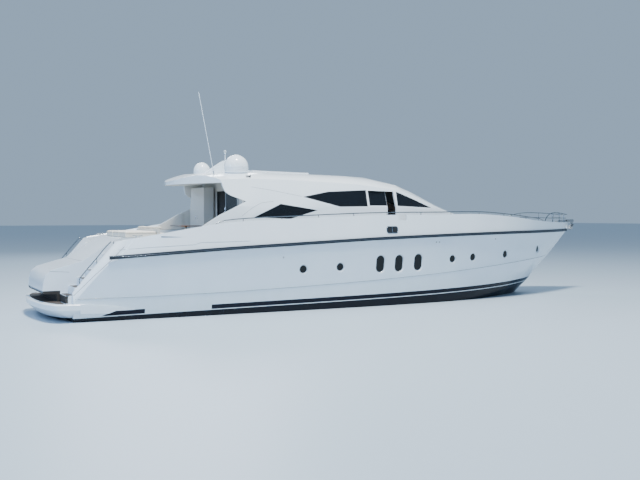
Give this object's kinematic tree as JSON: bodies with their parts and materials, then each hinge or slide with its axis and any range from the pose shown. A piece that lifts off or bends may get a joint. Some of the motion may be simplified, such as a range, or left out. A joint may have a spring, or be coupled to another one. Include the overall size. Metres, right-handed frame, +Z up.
{
  "type": "express motor yacht",
  "caption": "Express motor yacht with raked hardtop deckhouse, decked planing hull, tender garage with lifting door, swim platform, twin screws and rudders.",
  "frame": {"origin": "on the centreline amidships, at the waterline", "axes": "+X to the bow, +Y to port, +Z up"},
  "size_m": [25.12, 6.07, 9.6137],
  "materials": {
    "gelcoat": "polished white gelcoat",
    "rub_rail": "dark grey rubbing strake with a steel face",
    "teak": "weathered teak strips with dark seams",
    "glass": "dark tinted glass",
    "cream_moulding": "cream moulding, satin",
    "dark_trim": "black soft-touch trim",
    "upholstery": "cream marine vinyl with sewn channels",
    "bronze": "cast bronze, dull under water",
    "steel": "polished stainless steel"
  },
  "bodies": {
    "yacht": {"hull": "gelcoat", "hull_stern": "gelcoat", "cockpit_moulding": "gelcoat", "deck_moulding": "gelcoat", "foredeck_moulding": "gelcoat", "swim_platform": "gelcoat", "deckhouse": "gelcoat", "hardtop": "gelcoat", "radome_large": "gelcoat", "radome_small": "gelcoat", "light_mast": "gelcoat", "whip_aerial": "gelcoat", "rub_rail_port": "rub_rail", "rub_rail_starboard": "rub_rail", "saloon_table": "teak", "cockpit_table": "teak", "windscreen": "glass", "saloon_window": "glass", "window_aft_port": "glass", "window_aft_starboard": "glass", "window_middle_port": "glass", "window_middle_starboard": "glass", "window_forward_port": "glass", "window_forward_starboard": "glass", "aft_bulkhead": "cream_moulding", "cockpit_cabinet": "cream_moulding", "helm_console": "dark_trim", "helm_seat": "upholstery", "saloon_sofa": "upholstery", "cockpit_sofa": "upholstery", "aft_sunpad": "upholstery", "foredeck_sunpad": "upholstery", "shaft_bracket_port": "bronze", "shaft_bracket_starboard": "bronze", "stern_tube_port": "bronze", "stern_tube_starboard": "bronze", "pulpit": "steel", "bow_roller": "steel", "anchor": "steel", "windlass": "steel", "hand_rail_port": "steel", "hand_rail_starboard": "steel", "stair_rail_port": "steel", "stair_rail_starboard": "steel", "cleat_stern_port": "steel", "cleat_stern_starboard": "steel", "cleat_bow_port": "steel", "cleat_bow_starboard": "steel"},
    "garage_door": {"garage_door": "gelcoat"},
    "side_door_port": {"side_door_port": "gelcoat"},
    "side_door_starboard": {"side_door_starboard": "gelcoat"},
    "saloon_door": {"saloon_door": "glass"},
    "sunroof": {"sunroof": "gelcoat"},
    "cabin_hatch": {"cabin_hatch": "glass"},
    "steering_wheel": {"steering_wheel": "dark_trim"},
    "screw_port": {"screw_port": "bronze"},
    "screw_starboard": {"screw_starboard": "bronze"},
    "rudder_port": {"rudder_port": "bronze"},
    "rudder_starboard": {"rudder_starboard": "bronze"}
  },
  "joints": [
    {"name": "garage_door_hinge", "type": "hinge", "parent": "yacht", "child": "garage_door", "pos_m": [-9.36, 0, 2.741], "axis": [0, 1, 0], "range_deg": [0, 60]},
    {"name": "side_door_port_slide", "type": "slide", "parent": "yacht", "child": "side_door_port", "axis": [1, 0, 0], "range_m": [-1.15, 0]},
    {"name": "side_door_starboard_slide", "type": "slide", "parent": "yacht", "child": "side_door_starboard", "axis": [1, 0, 0], "range_m": [-0.75, 0.4]},
    {"name": "saloon_door_slide", "type": "slide", "parent": "yacht", "child": "saloon_door", "axis": [0, 1, 0], "range_m": [0, 1.08]},
    {"name": "sunroof_slide", "type": "slide", "parent": "yacht", "child": "sunroof", "axis": [0.9998, 0, -0.0186], "range_m": [0, 2.43]},
    {"name": "cabin_hatch_hinge", "type": "hinge", "parent": "yacht", "child": "cabin_hatch", "pos_m": [8.95, 0, 3.1676], "axis": [0, 1, 0], "range_deg": [0, 75]},
    {"name": "steering_wheel_turn", "type": "hinge", "parent": "yacht", "child": "steering_wheel", "pos_m": [2.08, -0.7, 3.56], "axis": [-0.8829, 0, 0.4695], "range_deg": [-541, 541]},
    {"name": "screw_port_turn", "type": "hinge", "parent": "yacht", "child": "screw_port", "pos_m": [-9.75, 1.15, -1.19], "axis": [0.9903, 0, 0.1392], "continuous": true},
    {"name": "screw_starboard_turn", "type": "hinge", "parent": "yacht", "child": "screw_starboard", "pos_m": [-9.75, -1.15, -1.19], "axis": [0.9903, 0, 0.1392], "continuous": true},
    {"name": "rudder_starboard_turn", "type": "hinge", "parent": "yacht", "child": "rudder_starboard", "pos_m": [-10.65, -1.15, -0.9], "axis": [0, 0, 1], "range_deg": [-35, 35]},
    {"name": "rudder_port_turn", "type": "hinge", "parent": "yacht", "child": "rudder_port", "pos_m": [-10.65, 1.15, -0.9], "axis": [0, 0, 1], "range_deg": [-35, 35]}
  ],
  "couplings": [
    {"joint": "rudder_port_turn", "follows": "rudder_starboard_turn", "ratio": 1},
    {"joint": "steering_wheel_turn", "follows": "rudder_starboard_turn", "ratio": 15.4}
  ]
}
